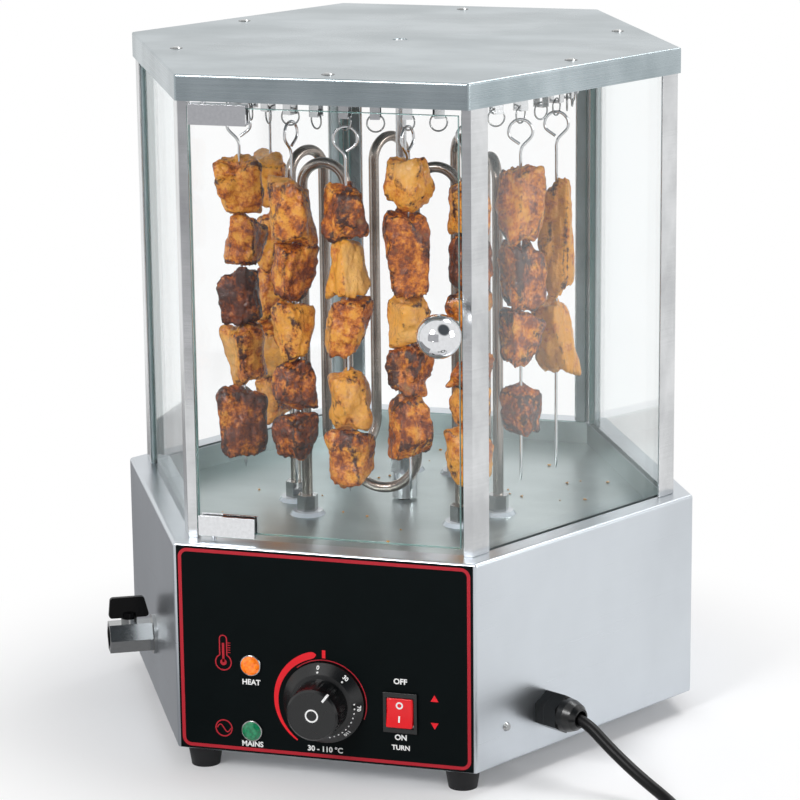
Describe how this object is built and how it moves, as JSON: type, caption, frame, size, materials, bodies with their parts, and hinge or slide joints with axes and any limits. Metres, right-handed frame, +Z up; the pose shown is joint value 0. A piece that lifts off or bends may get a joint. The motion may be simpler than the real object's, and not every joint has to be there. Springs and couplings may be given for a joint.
{
  "type": "electric skewer grill",
  "caption": "Hexagonal steel table grill with a glass chamber, hinged glass door, heated by standing tubes round which a carousel turns hanging loaded skewers.",
  "frame": {"origin": "on the table, under the middle of the cabinet's outline from knob to back; the carousel's axis is 16 mm behind it", "axes": "+Z up, -Y towards the door and controls, +X to the right as seen from the front"},
  "size_m": [0.4974, 0.5817, 0.507],
  "materials": {
    "brushed_steel": "brushed stainless sheet",
    "polished_steel": "bright stainless",
    "chrome": "polished chrome plate",
    "nickel": "satin nickel plate",
    "brass": "turned brass",
    "rubber": "matt black rubber",
    "black_plastic": "black moulded plastic",
    "black_panel": "satin black panel with white and red print",
    "black_handle": "black painted zinc",
    "amber_lens": "amber lamp lens",
    "green_lens": "green lamp lens",
    "red_button": "red switch plastic",
    "clear_glass": "clear tempered glass",
    "heater_tube": "heat-tinted steel tube",
    "steatite": "white ceramic",
    "skewer_steel": "drawn stainless wire",
    "cord_rubber": "smooth black cord sheath",
    "motor_paint": "dark motor paint",
    "roast_meat": "browned, glazed roast meat"
  },
  "bodies": {
    "cabinet": {"base_shell": "brushed_steel", "base_bottom": "brushed_steel", "tray": "polished_steel", "rubber_feet": "rubber", "case_screws": "nickel", "lid": "brushed_steel", "lid_screws": "nickel", "top_frame": "brushed_steel", "corner_posts": "polished_steel", "flank_glass": "clear_glass", "back_glass": "clear_glass", "glass_seals": "rubber", "control_panel": "black_panel", "hot_lamp": "amber_lens", "power_lamp": "green_lens", "rocker_frame": "black_plastic", "thermostat_body": "nickel", "drain_pipe": "nickel", "valve_body": "nickel", "gland_body": "black_plastic", "gland_nut": "black_plastic", "power_cord": "cord_rubber", "cord_coil": "cord_rubber", "mains_plug": "cord_rubber", "heater_front": "heater_tube", "heater_left": "heater_tube", "heater_right": "heater_tube", "heater_washers": "steatite", "heater_nuts": "nickel", "motor_bracket": "brushed_steel", "gear_motor": "motor_paint", "top_bush": "brass", "terminal_block": "steatite"},
    "door": {"door_glass": "clear_glass", "door_hinges": "chrome", "door_knob": "chrome"},
    "carousel": {"drive_socket": "chrome", "centre_shaft": "polished_steel", "carousel_disc": "polished_steel", "hanging_rings": "nickel"},
    "dial": {"thermostat_knob": "black_plastic"},
    "rocker": {"rocker_button": "red_button"},
    "valve_lever": {"valve_ball": "chrome", "valve_handle": "black_handle"},
    "skewer_1_load": {"skewer_1": "skewer_steel", "meat_1": "roast_meat"},
    "skewer_2_load": {"skewer_2": "skewer_steel", "meat_2": "roast_meat"},
    "skewer_3_load": {"skewer_3": "skewer_steel", "meat_3": "roast_meat"},
    "skewer_4_load": {"skewer_4": "skewer_steel", "meat_4": "roast_meat"},
    "skewer_5_load": {"skewer_5": "skewer_steel", "meat_5": "roast_meat"},
    "skewer_6_load": {"skewer_6": "skewer_steel", "meat_6": "roast_meat"},
    "skewer_7_load": {"skewer_7": "skewer_steel", "meat_7": "roast_meat"},
    "skewer_8_load": {"skewer_8": "skewer_steel", "meat_8": "roast_meat"}
  },
  "joints": [
    {"name": "door_hinge", "type": "hinge", "parent": "cabinet", "child": "door", "pos_m": [-0.086, -0.1805, 0.33], "axis": [0, 0, 1], "range_deg": [-110, 0]},
    {"name": "carousel_turn", "type": "hinge", "parent": "cabinet", "child": "carousel", "pos_m": [0, 0.016, 0.3], "axis": [0, 0, 1], "continuous": true},
    {"name": "thermostat_turn", "type": "hinge", "parent": "cabinet", "child": "dial", "pos_m": [0, -0.197, 0.061], "axis": [0, 1, 0], "range_deg": [-30, 240]},
    {"name": "switch_rock", "type": "hinge", "parent": "cabinet", "child": "rocker", "pos_m": [0.0564, -0.197, 0.058], "axis": [1, 0, 0], "range_deg": [0, 14]},
    {"name": "valve_turn", "type": "hinge", "parent": "cabinet", "child": "valve_lever", "pos_m": [-0.18249, -0.10431, 0.066], "axis": [0, 0, 1], "range_deg": [0, 90]},
    {"name": "skewer_1_swing", "type": "hinge", "parent": "carousel", "child": "skewer_1_load", "pos_m": [-0.10086, -0.0628, 0.45784], "axis": [0.6157, -0.788, 0], "range_deg": [-3, 3]},
    {"name": "skewer_2_swing", "type": "hinge", "parent": "carousel", "child": "skewer_2_load", "pos_m": [-0.11868, 0.06395, 0.45784], "axis": [-0.3746, -0.9272, 0], "range_deg": [-3, 3]},
    {"name": "skewer_3_swing", "type": "hinge", "parent": "carousel", "child": "skewer_3_load", "pos_m": [-0.04795, -0.10268, 0.45925], "axis": [0.9272, -0.3746, 0], "range_deg": [-3, 3]},
    {"name": "skewer_4_swing", "type": "hinge", "parent": "carousel", "child": "skewer_4_load", "pos_m": [-0.00447, -0.11192, 0.45866], "axis": [0.9994, -0.0349, 0], "range_deg": [-3, 3]},
    {"name": "skewer_5_swing", "type": "hinge", "parent": "carousel", "child": "skewer_5_load", "pos_m": [0.03955, -0.10573, 0.45915], "axis": [0.9511, 0.309, 0], "range_deg": [-3, 3]},
    {"name": "skewer_6_swing", "type": "hinge", "parent": "carousel", "child": "skewer_6_load", "pos_m": [0.07881, -0.08486, 0.45866], "axis": [0.788, 0.6157, 0], "range_deg": [-3, 3]},
    {"name": "skewer_7_swing", "type": "hinge", "parent": "carousel", "child": "skewer_7_load", "pos_m": [0.10855, -0.05183, 0.45806], "axis": [0.5299, 0.848, 0], "range_deg": [-3, 3]},
    {"name": "skewer_8_swing", "type": "hinge", "parent": "carousel", "child": "skewer_8_load", "pos_m": [0.1252, -0.01061, 0.45784], "axis": [0.2079, 0.9781, 0], "range_deg": [-3, 3]}
  ]
}
